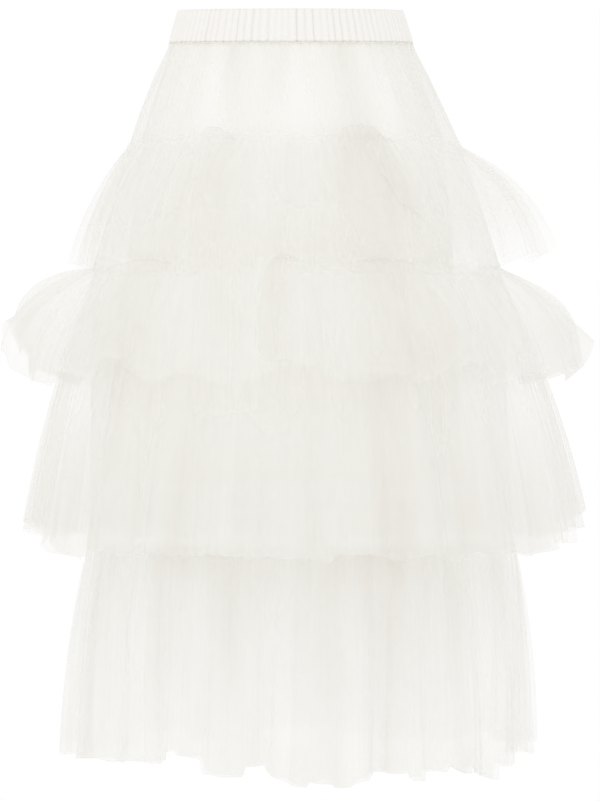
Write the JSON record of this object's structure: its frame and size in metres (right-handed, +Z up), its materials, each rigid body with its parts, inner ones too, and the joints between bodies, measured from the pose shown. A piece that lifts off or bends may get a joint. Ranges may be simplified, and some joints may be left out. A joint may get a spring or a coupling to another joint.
{
  "type": "tulle skirt",
  "caption": "Tiered tulle skirt with a gathered elastic waist, a slip lining, puffed frills and long flounces, in a rounded, hanging form.",
  "frame": {"origin": "middle of the ring that the waistband makes, at half of its height", "axes": "+Z up out of the waist, -Y towards the front of the skirt, +X towards the right of someone who faces its front"},
  "size_m": [0.6304, 0.5697, 0.8034],
  "materials": {
    "casing": "soft matt",
    "tulle": "sheer net",
    "slip": "satin"
  },
  "bodies": {
    "root": {"waistband": "casing", "base_skirt": "tulle", "lining": "slip", "upper_frill": "tulle", "middle_frill": "tulle", "long_flounce": "tulle", "hem_flounce": "tulle"}
  },
  "joints": []
}
